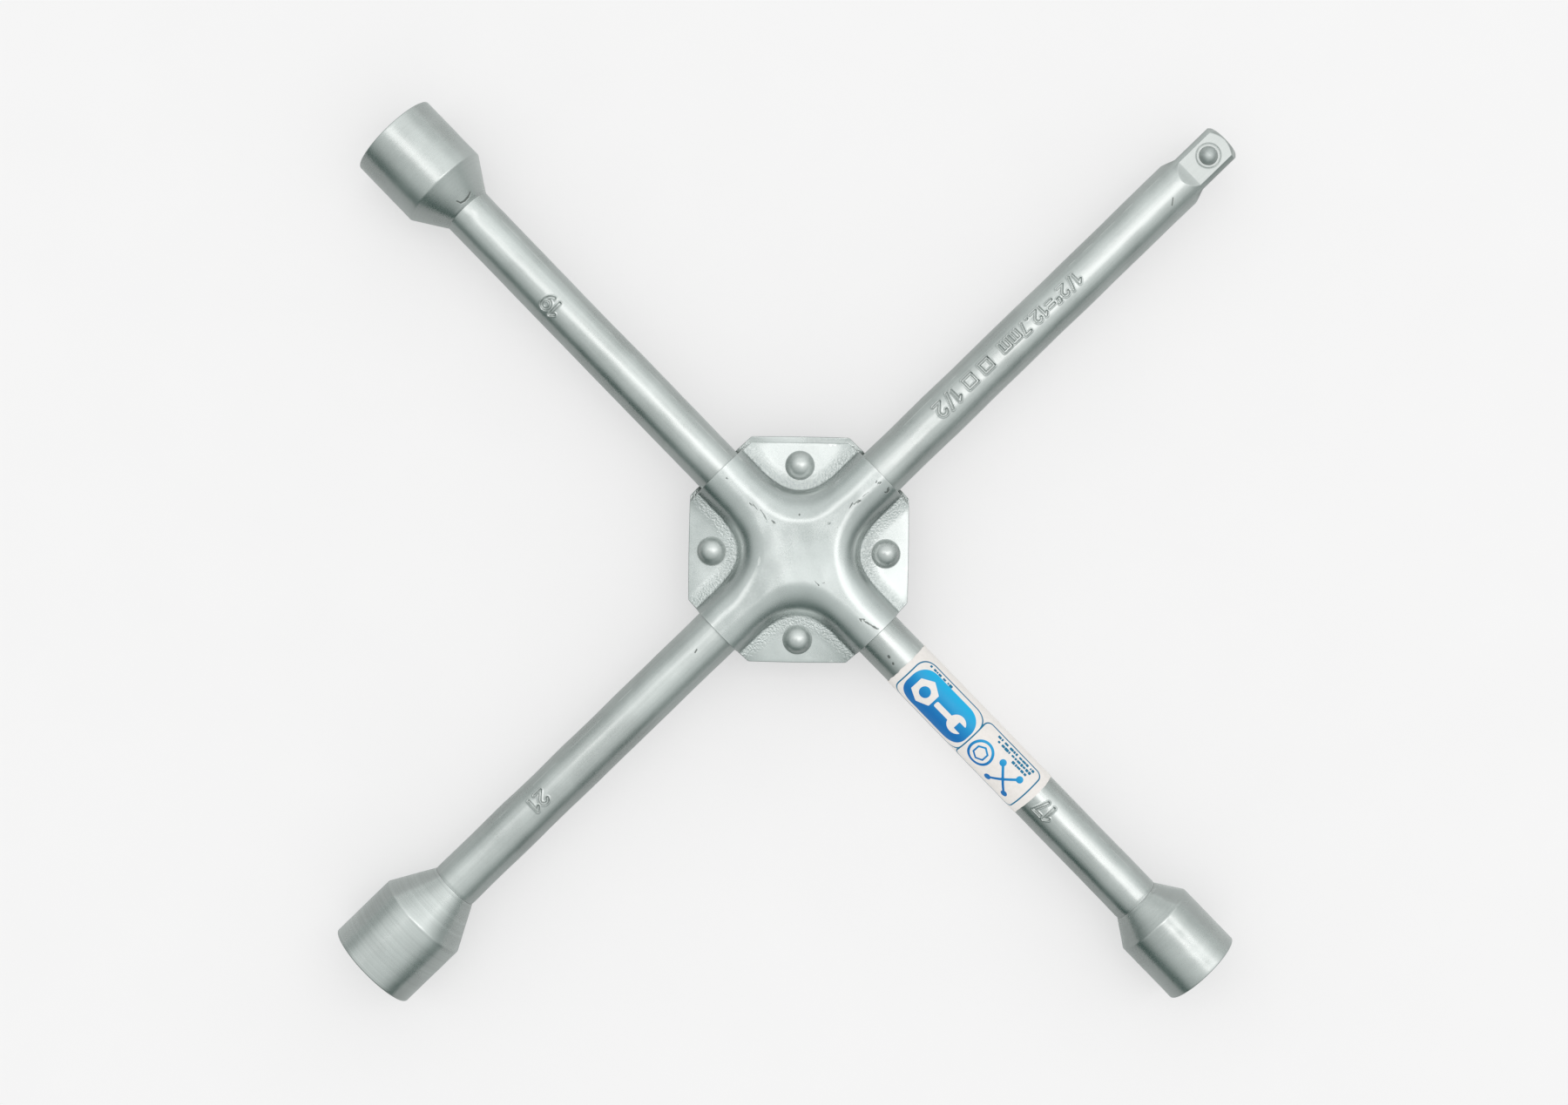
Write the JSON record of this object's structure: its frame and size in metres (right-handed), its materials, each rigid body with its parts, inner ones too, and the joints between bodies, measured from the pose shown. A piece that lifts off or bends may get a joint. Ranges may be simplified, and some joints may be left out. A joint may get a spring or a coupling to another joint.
{
  "type": "lug wrench",
  "caption": "Cross-shaped lug wrench: round bars held in a riveted pressed-steel hub, with hexagon sockets and a square drive with a sprung ball on the arm ends.",
  "frame": {"origin": "the hub centre, where the axes of the two crossed bars meet", "axes": "+X along the square drive's arm, -X along the 21 mm socket's arm, +Y along the 19 mm socket's arm, -Y along the 17 mm socket's arm, +Z square to the cross on the side that the detent ball faces"},
  "size_m": [0.3721, 0.3649, 0.031],
  "materials": {
    "bar_plating": "satin zinc plating over drawn bar, with a few pits and scratches",
    "socket_plating": "satin zinc plating over a turned surface",
    "hub_plating": "satin zinc plating over pressed sheet, finely grained",
    "rivet_plating": "smooth satin plating",
    "ball_steel": "smooth plated ball",
    "spring_steel": "bare spring wire",
    "label_film": null
  },
  "bodies": {
    "wrench": {"bar_17_19": "bar_plating", "bar_21_drive": "bar_plating", "socket_17": "socket_plating", "socket_19": "socket_plating", "socket_21": "socket_plating", "hub_plate_top": "hub_plating", "hub_plate_bottom": "hub_plating", "rivet_1": "rivet_plating", "rivet_2": "rivet_plating", "rivet_3": "rivet_plating", "rivet_4": "rivet_plating", "detent_spring": "spring_steel", "size_label": "label_film"},
    "ball": {"detent_ball": "ball_steel"}
  },
  "joints": [
    {"name": "ball_press", "type": "slide", "parent": "wrench", "child": "ball", "axis": [0, 0, -1], "range_m": [0, 0.0019], "stiffness_N_per_m": 6000, "springref_m": -0.001, "deforming": ["detent_spring"]}
  ]
}
